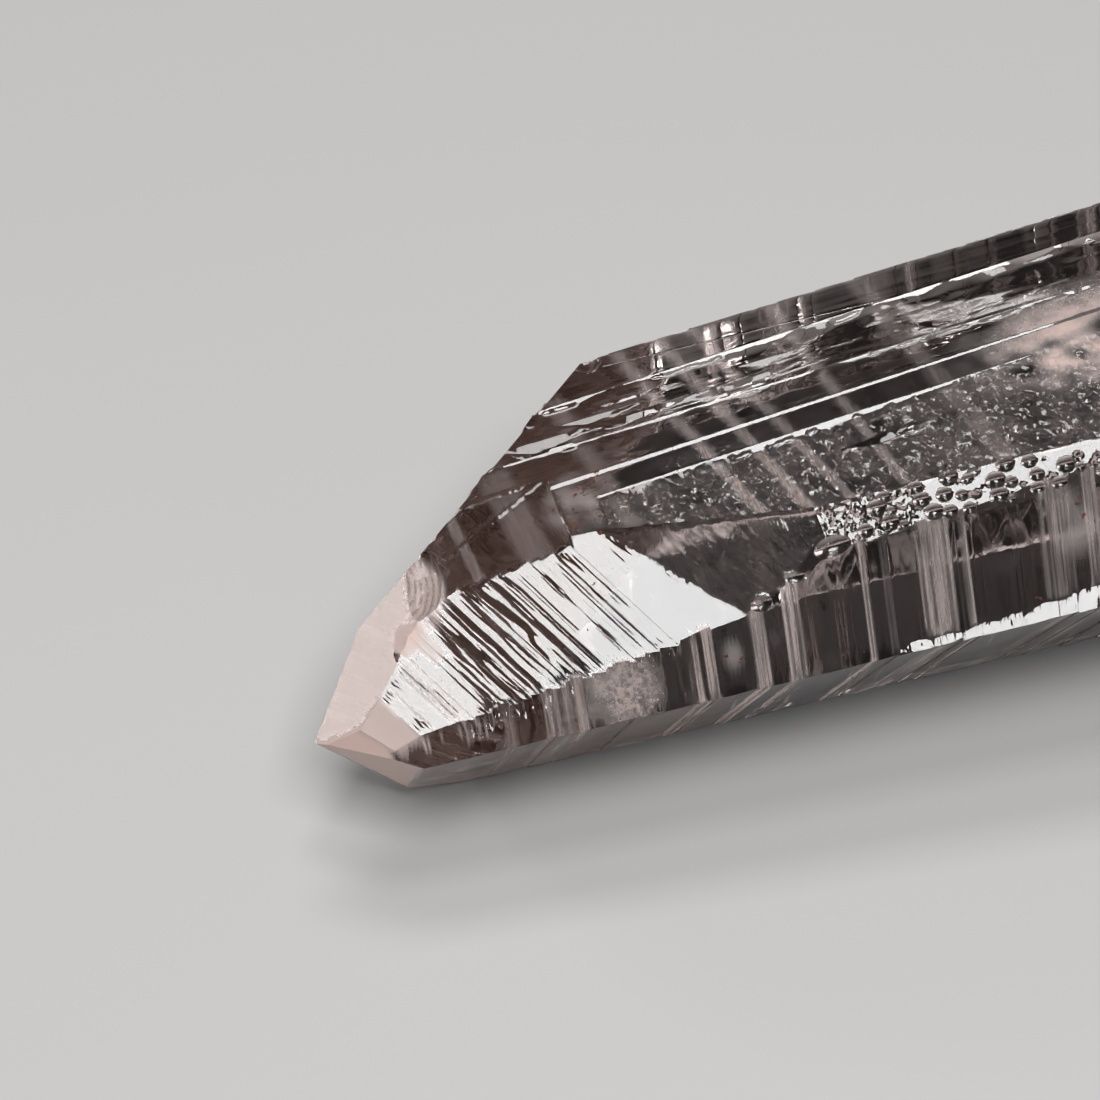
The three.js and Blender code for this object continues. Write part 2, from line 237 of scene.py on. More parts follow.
def family_of(normal, middle):
    """The family that a flat piece of the surface belongs to, or None for pits and steps."""
    x, y, z = middle
    if max(float(normal @ look) for look in POINT_LOOKS) > SAME_LOOK:
        return "point"
    if x > BASE_FROM and normal[0] > BASE_LOOK:
        return "base"
    best, least = None, 180
    for name, (look, tolerance, *_) in FAMILIES.items():
        first, last = REACHES.get(name, ANYWHERE)
        if not first <= x <= last or (name == "terrace" and y > TERRACE_REAR):
            continue
        angle = math.degrees(math.acos(max(-1, min(1, float(normal @ look)))))
        if angle < tolerance and angle < least:
            best, least = name, angle
    if best is None and z > CRATER_FROM and crater_reach(x, y) < 1:
        return "crater"
    return best


def read_cad(node):
    """Points in mm and triangles of the CAD node, with points that nearly touch made one."""
    mesh = node.data
    mesh.calc_loop_triangles()
    points = np.empty(len(mesh.vertices) * 3)
    mesh.vertices.foreach_get("co", points)
    points = points.reshape(-1, 3) / MM
    triangles = np.empty(len(mesh.loop_triangles) * 3, dtype=np.int32)
    mesh.loop_triangles.foreach_get("vertices", triangles)
    tree = KDTree(len(points))
    for number, point in enumerate(points):
        tree.insert(point, number)
    tree.balance()
    same = np.array([min(hit[1] for hit in tree.find_range(point, TOUCHING)) for point in points])
    same = same[same[same]]
    kept, inverse = np.unique(same, return_inverse=True)
    triangles = inverse.reshape(-1)[triangles].reshape(-1, 3)
    a, b, c = triangles.T
    return points[kept], triangles[(a != b) & (b != c) & (c != a)]


def flat_groups(points, triangles):
    """Sorts the triangles into flat pieces. Gives each triangle's group and each group's normal."""
    p = points[triangles]
    cross = np.cross(p[:, 1] - p[:, 0], p[:, 2] - p[:, 0])
    size = np.linalg.norm(cross, axis=1)
    normals = cross / np.maximum(size, TINY)[:, None]
    beside = {}
    for number, triangle in enumerate(triangles):
        for k in range(3):
            i, j = int(triangle[k]), int(triangle[(k + 1) % 3])
            beside.setdefault((min(i, j), max(i, j)), []).append(number)
    near = [[] for _ in triangles]
    for sharing in beside.values():
        for one in sharing:
            near[one].extend(other for other in sharing if other != one)
    group = np.full(len(triangles), -1)
    looks = []
    limit = math.cos(math.radians(FLAT_ANGLE))
    for seed in np.argsort(-size):
        if group[seed] >= 0:
            continue
        look = normals[seed]
        group[seed] = len(looks)
        waiting = [seed]
        while waiting:
            one = waiting.pop()
            for other in near[one]:
                flat = normals[other] @ look > limit or size[other] < SLIVER
                if group[other] < 0 and flat:
                    group[other] = len(looks)
                    waiting.append(other)
        looks.append(look)
    return group, np.array(looks), beside


def inside(where, starts, ends):
    """Which of the 2-D points are inside the outline that the edges make, holes left out."""
    result = np.zeros(len(where), dtype=bool)
    for chunk in range(0, len(where), CHUNK):
        x, y = where[chunk:chunk + CHUNK, :1], where[chunk:chunk + CHUNK, 1:]
        y0, y1 = starts[:, 1], ends[:, 1]
        crosses = (y0 > y) != (y1 > y)
        with np.errstate(divide="ignore", invalid="ignore"):
            at = starts[:, 0] + (y - y0) * (ends[:, 0] - starts[:, 0]) / (y1 - y0)
        result[chunk:chunk + CHUNK] = (crosses & (x < at)).sum(axis=1) % 2 == 1
    return result


def within(tris, walls):
    """Which triangles are inside the outline: each wall that is crossed changes sides."""
    sides = {}
    for number, tri in enumerate(tris):
        for k in range(3):
            i, j = tri[k], tri[(k + 1) % 3]
            sides.setdefault((i, j) if i < j else (j, i), []).append(number)
    state = [None] * len(tris)
    waiting = []
    for edge, sharing in sides.items():
        if len(sharing) == 1:
            waiting.append((sharing[0], edge in walls))
    near = [[] for _ in tris]
    for edge, sharing in sides.items():
        if len(sharing) == 2:
            wall = edge in walls
            near[sharing[0]].append((sharing[1], wall))
            near[sharing[1]].append((sharing[0], wall))
    while waiting:
        number, is_in = waiting.pop()
        if state[number] is None:
            state[number] = is_in
            waiting.extend((other, is_in != wall) for other, wall in near[number])
    return state


def clear_of(where, starts, ends, stretch):
    """The least distance from each 2-D point to the edges, with the axes stretched."""
    result = np.empty(len(where))
    a, b = starts * stretch, ends * stretch
    along = b - a
    length2 = np.maximum((along ** 2).sum(axis=1), TINY)
    for chunk in range(0, len(where), CHUNK):
        p = where[chunk:chunk + CHUNK] * stretch
        away = p[:, None, :] - a[None]
        t = np.clip((away * along).sum(axis=2) / length2, 0, 1)
        d2 = ((away - t[..., None] * along) ** 2).sum(axis=2)
        result[chunk:chunk + CHUNK] = np.sqrt(d2.min(axis=1))
    return result


def lattice(low, high, row_gap, gap, first_row):
    """Rows of 2-D points that fill a box, every second row shifted by half a gap."""
    rows = []
    start, end = (low[1] - first_row) / row_gap, (high[1] - first_row) / row_gap
    for count in range(math.ceil(start), math.ceil(end)):
        u = np.arange(low[0] + gap * (0.5 * (count % 2) + 0.1), high[0], gap)
        rows.append(np.stack((u, np.full(len(u), first_row + count * row_gap)), axis=1))
    return np.concatenate(rows) if rows else np.zeros((0, 2))


def rows_inside(flat, edges, row_gap, gap, first_row, wanted):
    """Rows of 2-D points inside an outline and clear of it, where they are wanted."""
    low, high = flat.min(axis=0), flat.max(axis=0)
    if (high - low < LEAST_SPAN * np.array((gap, row_gap))).any():
        return np.zeros((0, 2))
    starts = flat[[a for a, b in edges]]
    ends = flat[[b for a, b in edges]]
    grid = lattice(low, high, row_gap, gap, first_row)
    grid = grid[wanted(grid)]
    grid = grid[inside(grid, starts, ends)]
    stretch = np.array((row_gap / gap, 1.0)) / row_gap
    return grid[clear_of(grid, starts, ends, stretch) > CLEARANCE]


def fill_piece(name, look, corners, edges):
    """Fills a flat piece of the surface with rows of points and makes triangles of them.

    Gives the place of each point, the number of the corner that it is, or None, and the
    triangles.
    """
    origin = corners.mean(axis=0)
    yaw, row_gap, gap, _ = spacing(name)
    u_axis, v_axis = axes(look, yaw)
    flat = np.stack(((corners - origin) @ u_axis, (corners - origin) @ v_axis), axis=1)

    def placed(spots):
        return origin + spots[:, :1] * u_axis + spots[:, 1:] * v_axis

    def is_fine(spots):
        if name not in FINE_PARTS:
            return np.zeros(len(spots), dtype=bool)
        return FINE_PARTS[name](placed(spots)) > FINE_FROM

    first_row = 0.0
    if yaw == 90:
        # Rows at whole multiples of the row gap along the long axis, so that bars end on them
        row_gap /= abs(v_axis[0])
        first_row = -origin[0] / v_axis[0]
    fill = rows_inside(flat, edges, row_gap, gap, first_row, lambda spots: ~is_fine(spots))
    if name in FINE_PARTS:
        fine = rows_inside(flat, edges, FINE_GAP, FINE_GAP, first_row, is_fine)
        fill = np.concatenate((fill, fine))
    # Rows stay rows where the triangles are made with the distances along them shortened
    shorten = np.array((row_gap / gap, 1.0))
    where = [Vector(spot * shorten) for spot in np.concatenate((flat, fill))]
    spots, lines, tris, point_sources, line_sources, _ = delaunay_2d_cdt(where, edges, [], 0, 1e-6)
    if not tris:
        return np.zeros((0, 3)), [], []
    walls = {tuple(sorted(line)) for line, sources in zip(lines, line_sources) if sources}
    which = []
    for sources in point_sources:
        is_corner = sources and sources[0] < len(corners)
        which.append(min(sources) if is_corner else None)
    kept = [tri for tri, is_in in zip(tris, within(tris, walls)) if is_in]
    return placed(np.array([tuple(spot) for spot in spots]) / shorten), which, kept


def split_edges(points, group, beside, families):
    """Adds points along the edges between flat pieces of the surface.

    Gives the points, the pieces around each point and the chains of points around each piece.
    """
    out_points = [tuple(p) for p in points]
    out_group = [set() for _ in points]
    outlines = [[] for _ in families]
    for (i, j), sharing in beside.items():
        numbers = sorted({int(group[t]) for t in sharing})
        if len(numbers) < 2:
            continue
        gap = min(spacing(families[n])[3] for n in numbers)
        count = max(1, math.ceil(float(np.linalg.norm(points[i] - points[j])) / gap))
        chain = [i]
        for step in range(1, count):
            out_points.append(tuple(points[i] + (points[j] - points[i]) * step / count))
            out_group.append(set())
            chain.append(len(out_points) - 1)
        chain.append(j)
        for number in numbers:
            outlines[number].append(chain)
            for k in chain:
                out_group[k].add(number)
    return out_points, out_group, outlines


def dense_surface(points, triangles):
    """Fills every flat piece of the surface with rows of points, to be moved afterwards.

    Gives the points, the triangles and, for each point, the families and looks around it.
    """
    group, looks, beside = flat_groups(points, triangles)
    middles = points[triangles].mean(axis=1)
    families = []
    for number, look in enumerate(looks):
        families.append(family_of(look, middles[group == number].mean(axis=0)))
    out_points, out_group, outlines = split_edges(points, group, beside, families)
    faces, face_group = [], []
    for number, look in enumerate(looks):
        chains = outlines[number]
        if not chains:
            continue
        ids = sorted({k for chain in chains for k in chain})
        index = {k: n for n, k in enumerate(ids)}
        edges = [(index[a], index[b]) for chain in chains for a, b in zip(chain, chain[1:])]
        corners = np.array([out_points[k] for k in ids])
        places, which, tris = fill_piece(families[number], look, corners, edges)
        names = []
        for place, corner in zip(places, which):
            if corner is None:
                out_points.append(tuple(place))
                out_group.append({number})
                names.append(len(out_points) - 1)
            else:
                names.append(ids[corner])
        for tri in tris:
            faces.append([names[k] for k in tri])
            face_group.append(number)

    point_family, point_look = [], []
    for numbers in out_group:
        around = {families[n] for n in numbers}
        if len(around) == 1:
            point_family.append(next(iter(around)))
            mean = sum(looks[n] for n in numbers)
            point_look.append(mean / np.linalg.norm(mean))
        else:
            point_family.append(None)
            point_look.append(np.zeros(3))
    return (np.array(out_points), faces, point_family, np.array(point_look),
            [families[n] for n in face_group])


points, faces, point_family, point_look, face_family = dense_surface(
    *read_cad(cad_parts["quartz_point"]))

# Relief of the faces, cut into them

# The gain that brings smooth noise to about -1 to 1, and how much weaker and finer the octaves of
# rough noise get
NOISE_GAIN = 1.6
WEAKER = 0.7
FINER = 2.1


def wander(where, scale, seed, octaves=1):
    """Smooth noise at each point, about -1 to 1. The scale is the size of its lumps in mm."""
    shift = np.array((seed * 17.3, seed * 9.1, seed * 5.7))
    scaled = where / np.array(scale) + shift
    if octaves == 1:
        return np.array([noise.noise(Vector(p)) for p in scaled]) * NOISE_GAIN
    return np.array([noise.fractal(Vector(p), WEAKER, FINER, octaves) for p in scaled])


def profile(length, plateau, ramp, rise, seed):
    """A flight of flat terraces with ramps between them: places and heights along a line."""
    dice = random.Random(seed)
    places, heights = [0.0], [0.0]
    while places[-1] < length:
        places.append(places[-1] + dice.uniform(*plateau))
        heights.append(heights[-1])
        places.append(places[-1] + dice.uniform(*ramp))
        level = heights[-1] + dice.uniform(-rise, rise)
        heights.append(min(max(level, 0), 1.6 * rise))
    return np.array(places), np.array(heights)


def between(x, start, full, less, end):
    """0 before the start, 1 from full to less, 0 after the end."""
    return np.clip((x - start) / (full - start), 0, 1) * np.clip((end - x) / (end - less), 0, 1)


def bevel_x(p):
    """Places along the bevel, in mm, on lines that lean as its dark band does."""
    return p[:, 0] + 0.35 * (p[:, 1] + 6.2)


# Places along the bevel where its broad stripes and its fine lines begin, are full, fade and end
STRIPED = (-50.1, -48.9, -46.3, -44.4)
LINED = (-48.5, -46, -40, -36.5)
# How many tiny pits are strewn over the bevel, and the places along it between which they show
BEVEL_PITS = 26
PITS_FROM = -42
PITS_TO = -38


def bevel_relief(p):
    """Striations across the bevel: broad dark stripes, then fine ones, then smooth and pitted."""
    row, across = axes(FAMILIES["bevel"][0], FAMILIES["bevel"][2])
    s = p @ across
    t = p @ row
    s = s - s.min() + 0.06 * wander(p, (2.5, 2.5, 2.5), 1)
    x = bevel_x(p)
    stripes = np.interp(s, *profile(30, (0.06, 0.3), (0.1, 0.4), 0.1, 3))
    fine = np.interp(s, *profile(30, (0.08, 0.32), (0.1, 0.16), 0.08, 5))
    spread = wander(np.stack((s * 2.2, t * 0.3, 0 * s), axis=1), (1, 1, 1), 2)
    patchy = wander(np.stack((s * 1.1, t * 0.4, 0 * s), axis=1), (1, 1, 1), 4)
    strong = between(x, *STRIPED) * np.clip(0.8 + 0.6 * spread, 0, 1)
    weak = (0.12 + 0.88 * between(x, *LINED)) * np.clip(0.7 + 0.8 * patchy, 0, 1)
    relief = strong * stripes + weak * fine
    dice = random.Random(8)
    for _ in range(BEVEL_PITS):
        cs, ct = dice.uniform(s.min(), s.max()), dice.uniform(t.min(), t.max())
        radius = dice.uniform(0.08, 0.17)
        d2 = (s - cs) ** 2 + (t - ct) ** 2
        near = (d2 < radius ** 2) & (x > PITS_FROM) & (x < PITS_TO)
        relief[near] += 0.4 * radius * (1 - d2[near] / radius ** 2)
    return relief + 0.0012 * (1 + wander(p, (1.5, 1.5, 1.5), 6))


def hillocks(x, y, seed, count, x_range, y_range, lengths, gentle, steep, height):
    """Long low hillocks with flat sides, steep to the front: the depth below their tops."""
    dice = random.Random(seed)
    depth = np.full(len(x), height)
    for _ in range(count):
        cx, cy = dice.uniform(*x_range), dice.uniform(*y_range)
        length, wide, cliff = dice.uniform(*lengths), dice.uniform(*gentle), dice.uniform(*steep)
        lean, top = dice.uniform(-0.12, 0.04), dice.uniform(0, 0.4 * height)
        dx = x - cx
        near = np.abs(dx) < length
        dy = y[near] - cy - lean * dx[near]
        side = np.maximum(dy / wide, -dy / cliff)
        rise = top + height * np.maximum(side, np.abs(dx[near]) / length)
        depth[near] = np.minimum(depth[near], rise)
    return depth


# The steps of the wedge between two ledges: their gap and their height
STEP = 0.65
STEP_DEPTH = 0.145
HILLOCKS = {"seed": 7, "count": 420, "x_range": (-50, 60), "y_range": (-3, 8), "lengths": (2.5, 7),
            "gentle": (0.5, 1.4), "steep": (0.12, 0.28), "height": 0.07}


def stepped(p):
    """A wedge of low steps that face the front, between two of the ledges."""
    along = p[:, 0] + 14.4
    return (along > 0) & (p[:, 1] > 2.7 + 0.03 * along) & (p[:, 1] < 6.2 - 0.33 * along)


def top_relief(p):
    """Hillocks along the rear half, etch marks over the front half, faint lines everywhere."""
    x, y = p[:, 0], p[:, 1]
    rear = 1 - etched(x, y)
    band = np.clip((y - 1.5) / 0.8, 0, 1) * np.clip((7.0 + 0.012 * x - y) / 0.8, 0, 1)
    depth = rear * hillocks(x, y, **HILLOCKS) * (0.25 + 0.75 * band)
    turned = np.stack((x + 0.45 * y, y - 0.45 * x, 0 * x), axis=1)
    marks = wander(turned, (0.5, 1.3, 1), 8)
    nicks = wander(turned, (0.5, 0.9, 1), 9)
    grit = wander(p, (0.42, 0.42, 0.42), 21)
    etch = 0.18 * np.clip(0.5 - np.abs(marks), 0, 1) + 0.4 * np.clip(nicks - 0.4, 0, 1)
    etch += 0.13 * np.clip(grit - 0.15, 0, 1)
    depth = depth + etched(x, y) * (etch + 0.02 * (1 + wander(p, (1.7, 1.3, 9), 10)))
    lines = wander(np.stack((x / 14, y / 0.3, 0 * x), axis=1), (1, 1, 1), 11)
    ramp = 1 - (y / STEP + 0.15 * lines) % 1
    return np.where(stepped(p), STEP_DEPTH * ramp, depth) + 0.004 * (1 + lines)


STRIP_PITS = 110


def pits_relief(p):
    """Round etch pits that crowd along the strip, and crumpled slanting marks at its start."""
    dice = random.Random(11)
    row, across = axes(FAMILIES["strip"][0], 0)
    u, v = p @ row, p @ across
    depth = 0.0015 * (1 + wander(p, (1.6, 1.6, 1.6), 12))
    for _ in range(STRIP_PITS):
        cu, cv = dice.uniform(u.min(), u.max()), dice.uniform(v.min(), v.max())
        radius = 0.12 + 0.2 * dice.random() ** 2
        turn = dice.uniform(0, 1)
        near = np.flatnonzero((u - cu) ** 2 + (v - cv) ** 2 < 1.5 * radius ** 2)
        reach = np.zeros(len(near))
        for side in range(3):
            angle = turn + side * math.pi / 3
            reach = np.maximum(reach, np.abs(
                (u[near] - cu) * math.cos(angle) + (v[near] - cv) * math.sin(angle)))
        bowl = 0.5 * np.clip(1.3 * (radius - reach), 0, 0.6 * radius)
        depth[near] = np.maximum(depth[near], bowl)
    start = np.clip((-17.5 - p[:, 0]) / 3, 0, 1)
    slant = np.stack((u + 0.9 * v, v - 0.9 * u, 0 * u), axis=1)
    crumple = 0.13 * np.clip(0.6 - np.abs(wander(slant, (0.9, 0.26, 1), 13)), 0, 1)
    return (1 - start) * depth + start * crumple


def slope_relief(p):
    """Slanting ridges and a slow swell on the rough slope that ends the bevel."""
    slant = np.stack((p[:, 0] + 0.6 * p[:, 1], p[:, 1] - 0.6 * p[:, 0], 0 * p[:, 0]), axis=1)
    ridges = np.clip(0.6 - np.abs(wander(slant, (0.4, 1.8, 1), 14)), 0, 1)
    return 0.028 * ridges + 0.02 * (1 + wander(p, (2.4, 1.6, 1.2), 15))


def terrace_relief(p):
    """Faint streaks and a slow swell on the smooth terrace over the bevel."""
    streaks = wander(np.stack((p[:, 0] + 0.3 * p[:, 1], 0.12 * p[:, 1], 0 * p[:, 0]), axis=1),
                     (0.25, 1, 1), 16)
    return 0.012 * (1 + streaks) + 0.03 * (1 + wander(p, (2.4, 1.6, 2), 17))


# Bars of fine growth lines that cross the side faces, square to the long axis: their middle,
# their width and how milky they are
SEEN_BARS = [(-45.8, 0.8, 0.5), (-42.3, 2.7, 0.65), (-33.8, 0.35, 0.8), (-33.0, 0.5, 0.8),
             (-29.8, 0.9, 0.8), (-27.6, 1.0, 0.7), (-22.8, 0.3, 0.8), (-21.4, 0.5, 0.25),
             (-18.3, 2.2, 0.75), (-16.4, 0.5, 0.7), (-10.6, 2.0, 0.35), (-8.2, 0.8, 0.6),
             (-4.2, 0.5, 0.4)]
# The x at which the seen bars end and the others begin, and where those end
SEEN_TO = -2.0
BARS_TO = 52
# How long a row of the bars is, the x at which the rows begin, and how far they go on
BAR_ROW = 0.12
ROWS_FROM = -60
ROWS_LONG = 120


def all_bars():
    """The bars seen in the photograph, and more of their kind over the part that it cuts off."""
    dice = random.Random(21)
    bars = list(SEEN_BARS)
    x = SEEN_TO
    while x < BARS_TO:
        bars.append((x, dice.choice((0.3, 0.5, 0.8, 1.8)), dice.uniform(0.3, 0.8)))
        x += dice.uniform(2, 7)
    return bars


def bar_milk():
    """How milky each row across the sides is, from 0 to 1."""
    dice = random.Random(22)
    rows = np.zeros(int(ROWS_LONG / BAR_ROW))
    for middle, width, milk in all_bars():
        first = int((middle - width / 2 - ROWS_FROM) / BAR_ROW)
        last = max(first + 1, int((middle + width / 2 - ROWS_FROM) / BAR_ROW))
        for row in range(first, last):
            rows[row] = max(rows[row], milk * dice.choice((0.3, 0.7, 1, 1)))
    return rows


BAR_ROWS = bar_milk()


def milk_at(x):
    """How milky the bars are at each x."""
    row = np.round((x - ROWS_FROM) / BAR_ROW).astype(int)
    return BAR_ROWS[np.clip(row, 0, len(BAR_ROWS) - 1)]


FLAW_SLOPE = 0.061


def flaw_depth(p):
    """How far the turned facet low on the front lies under the face around it."""
    return FLAW_SLOPE * np.clip(-above_flaw(p), 0, 3) * on_flaw(p)


def side_relief(p):
    """Fine lines square to the long axis, close together in the bars, and a slow swell."""
    x = p[:, 0]
    lines = np.interp(x - ROWS_FROM, *profile(ROWS_LONG + 5, (0.2, 0.7), (0.2, 0.3), 0.01, 31))
    close = np.interp(x - ROWS_FROM, *profile(ROWS_LONG + 5, (0.02, 0.2), (0.2, 0.22), 0.015, 32))
    swell = wander(p, (9, 4, 4), 18)
    behind = np.where(p[:, 1] > 4, 0.35, 1)
    plain = np.where(on_flaw(p), 0.1, 1)
    return behind * plain * (0.5 * lines + (milk_at(x) > 0) * close) + 0.012 * (1 + swell)


# The grooves behind which the ledges of the top rise: where each lies in y, the y and the height
# of its ledge at LEDGE_X, how ragged it is, and the depth left of it at places along x
GROOVES = [
    (-4.6, -1.9, -2.2, 19.93, 0.35, (-38.4, -34, -31, -30, -29, -28, -17, -10, -5),
     (0, 0.06, 0.11, 0.03, 0.1, 0.19, 0.17, 0.1, 0.02)),
    (0.9, 2.6, 2.5, 19.64, 1.1, (-50, -30, -8, 0), (0.12, 0.07, 0.07, 0.14)),
    (5.0, 6.9, 6.5, 19.37, 1.1, (-50, -40, -8, 0), (0.08, 0.12, 0.12, 0.25)),
]
LEDGE_X = -37
# How much the top rises in x and in y, and how steep a ledge is
TOP_RISE = 0.1172
TOP_FALL = -0.04
LEDGE_SLOPE = 0.6
# The most that the ground of a groove is raised, and how far under the ledge it may lie
MOST_RAISED = 0.3
GROOVE_UNDER = 0.6


def ground_up(p):
    """How far the ground of the grooves on the top is raised at each point, in mm."""
    x, y, z = p.T
    raised = np.zeros(len(p))
    for number, (front, rear, edge_y, edge_z, ragged, places, depths) in enumerate(GROOVES):
        edge = edge_z + TOP_RISE * (x - LEDGE_X) + TOP_FALL * (y - edge_y)
        flat = np.stack((x, y, 0 * x), axis=1)
        rough = 1 + ragged * wander(flat, (2, 3, 1), 60 + number, 2)
        depth = np.interp(x, places, depths) * np.clip(rough, 0.1, 2)
        in_groove = (y > front) & (y < rear) & (x > places[0]) & (x < places[-1])
        in_groove &= z > edge - GROOVE_UNDER
        raised = np.maximum(raised, in_groove * np.clip(edge - depth - z, 0, MOST_RAISED))
    return raised


RELIEF = {
    "bevel": bevel_relief,
    "foot": bevel_relief,
    "slope": slope_relief,
    "strip": pits_relief,
    "terrace": terrace_relief,
    "top": top_relief,
    "front_high": side_relief,
    "front_low": side_relief,
    "back_high": side_relief,
    "back_low": side_relief,
    "point": lambda p: 0.004 * (1 + wander(p, (5, 2, 3), 19)),
    "crater": lambda p: 0.02 * (1 + crater_rings(p)),
    "base": lambda p: 0.06 * (1 + wander(p, (3, 2.2, 3), 20)),
}

# The share of the bevel's coarse steps that is taken out, and how deep they are at most
STEPS_OUT = 0.9
STEPS_DEEP = 0.25
# Edges sharper than this many degrees stay sharp
SHARP = 22

flat_points = points.copy()
names = np.array([name or "" for name in point_family])
for name, relief in RELIEF.items():
    chosen = names == name
    if chosen.any():
        depth = relief(points[chosen])
        points[chosen] -= point_look[chosen] * np.maximum(depth, 0)[:, None]
face_array = np.array(faces)
of_family = np.array([name or "" for name in face_family])
by_bevel = np.zeros(len(points), dtype=bool)
by_bevel[face_array[of_family == "bevel"].ravel()] = True
look = FAMILIES["bevel"][0]
sunk = (flat_points[by_bevel] @ look).max() - flat_points[by_bevel] @ look
# The coarse steps of the bevel are taken out, and what lies deeper stays
points[by_bevel] += look * (STEPS_OUT * sunk * (sunk < STEPS_DEEP))[:, None]
# What is at the foot of a ledge moves up along the ledge's slope
raised = ground_up(flat_points)
points[:, 2] += raised
points[:, 1] += (names == "") * raised / LEDGE_SLOPE
by_front = np.zeros(len(points), dtype=bool)
by_front[face_array[of_family == "front_high"].ravel()] = True
points[by_front] -= FAMILIES["front_high"][0] * flaw_depth(flat_points[by_front])[:, None]
low, high = np.array(cad_box[0]) / MM, np.array(cad_box[1]) / MM
points = np.clip(points, low, high)

mesh = bpy.data.meshes.new("crystal")
mesh.from_pydata([tuple(p * MM) for p in points], [], faces)
mesh.validate()
crystal = bpy.data.objects.new("crystal", mesh)
scene.collection.objects.link(crystal)
mesh.shade_smooth()
mesh.set_sharp_from_angle(angle=math.radians(SHARP))


# How milky, hazy, frosted and stained the surface is at each point
def patch(p, middle, reach):
    """1 in the middle of a place, falling to 0 at its reach along each axis."""
    away = (p - np.array(middle)) / np.array(reach)
    return np.clip(1 - (away ** 2).sum(axis=1), 0, 1)


def veil(p, low, high, width):
    """A soft band across the top that leans from one x at y = 1 to another at y = 7.5."""
    middle = low + (high - low) * (p[:, 1] - 1) / 6.5
    return np.clip(1.4 - 1.4 * ((p[:, 0] - middle) / (width / 2)) ** 2, 0, 1)


# Frost on the bevel, in mm across its striations: the band beside the tip begins at the first
# value, a second band lies between the next four and the thin lines between the last two
FROST_BAND = 42.25
FROST_SECOND = (37.4, 37.5, 38.45, 38.6)
FROST_LINES = (38.8, 42.1)
LINE_COUNT = 6


def bevel_frost(p):
    """Frosted bands and thin lines along the striations at the tip end of the bevel."""
    row, across = axes(FAMILIES["bevel"][0], FAMILIES["bevel"][2])
    s = p @ across
    t = p @ row
    frost = 0.75 * np.clip((s - FROST_BAND) / 0.12, 0, 1)
    second = 0.6 * between(s, *FROST_SECOND) * np.clip((t - 24.8) / 0.4, 0, 1)
    frost = np.maximum(frost, second)
    dice = random.Random(61)
    for _ in range(LINE_COUNT):
        middle, wide = dice.uniform(*FROST_LINES), dice.uniform(0.05, 0.1)
        line = np.clip(1.5 - np.abs(s - middle) / wide, 0, 1)
        frost = np.maximum(frost, 0.45 * line)
    return frost * (p[:, 0] < -47) * (p[:, 1] < -5.5)


by_side = np.zeros(len(points), dtype=bool)
for name in ("front_high", "front_low", "back_high", "back_low"):
    by_side[face_array[of_family == name].ravel()] = True
by_top = np.isin(names, ["top", "terrace"])
p = points
bars = np.where(by_side, milk_at(flat_points[:, 0]), 0) * (0.85 + 0.3 * wander(p, (1, 6, 6), 40))
# Veils over the top: their x at two places across it, their width and how milky they are
VEILS = [(-30.3, -31.9, 0.9, 0.5), (-27.5, -29.0, 0.9, 0.5), (-25.1, -26.7, 0.8, 0.45),
         (-20.6, -21.5, 0.8, 0.4), (-14.5, -15.6, 1.6, 0.2), (-46.2, -46.8, 0.8, 0.3),
         (-42.6, -43.4, 2.4, 0.22), (-36.6, -37.4, 1.4, 0.25)]
for low_x, high_x, width, milk in VEILS:
    bars = np.maximum(bars, by_top * milk * veil(p, low_x, high_x, width))

soft = wander(p, (2.5, 2.0, 2.0), 44, 2)
bars = np.where(by_front & on_flaw(p), 0.15 * bars, bars)
# Places of haze, frost and stain: their middle and their reach
RIGHT_HAZE = ((-4, -1, 23), (9, 5, 9))
RIGHT_FROST = ((-4.3, -1.5, 23.5), (7, 4.5, 9))
RIGHT_STAIN = ((-5, -1, 23), (9, 5, 9))
BESIDE_CRATER = ((-50.9, -7.1, 16.1), (1.0, 1.3, 0.9))
CRATER = ((*CRATER_AT, 17.3), (1.8, 3.1, 3))
RUSTY_SPOT = ((-38.3, -2.6, 19.8), (2.6, 3.0, 3))
# Stains seen through the front, and how strong each is
FRONT_STAINS = [
    (((-40.6, -13, 14), (1.2, 2, 2.5)), 0.25),
    (((-38.3, -13, 14), (2.4, 2, 2.8)), 0.16),
    (((-31.7, -13.4, 15.3), (0.8, 2, 0.9)), 0.25),
    (((-9.4, -13, 20), (1.6, 3, 2.6)), 0.3),
]
# The x at which the stained base begins
STAINED_FROM = 53.2
on_front = by_side & (p[:, 1] < 0)
on_top = names == "top"
off_point = names != "point"

haze = by_top * etched(p[:, 0], p[:, 1]) * np.clip(0.12 + 0.14 * soft, 0, 1)
haze += 0.4 * on_top * patch(p, *RIGHT_HAZE) * np.clip(0.7 + soft, 0, 1)
haze += 0.06 * (names == "slope") + 0.2 * on_top * stepped(flat_points)
clots = np.clip(0.7 - 0.9 * wander(p, (0.5, 0.5, 0.5), 42, 3), 0.1, 1)
haze += 0.8 * on_front * np.clip(1.6 * cloudy(p), 0, 1) * clots
haze += 0.2 * by_side * np.clip(wander(p, (3, 2, 2), 45, 3) - 0.5, 0, 1)

# The faces of the point that look to the front are frosted all over
tip = (names == "point") & (point_look[:, 1] < -0.3)
frost = tip + bevel_frost(p) * off_point * (p[:, 2] > 12.6)
frost += 0.62 * by_top * patch(p, *RIGHT_FROST) * np.clip(0.8 + soft, 0, 1)
frost += 0.8 * np.clip(3 * patch(p, *BESIDE_CRATER), 0, 1)
hollow = patch(p, *CRATER) * off_point
frost += 0.75 * np.clip(3 * hollow, 0, 1) * (0.75 + 0.25 * crater_rings(p))

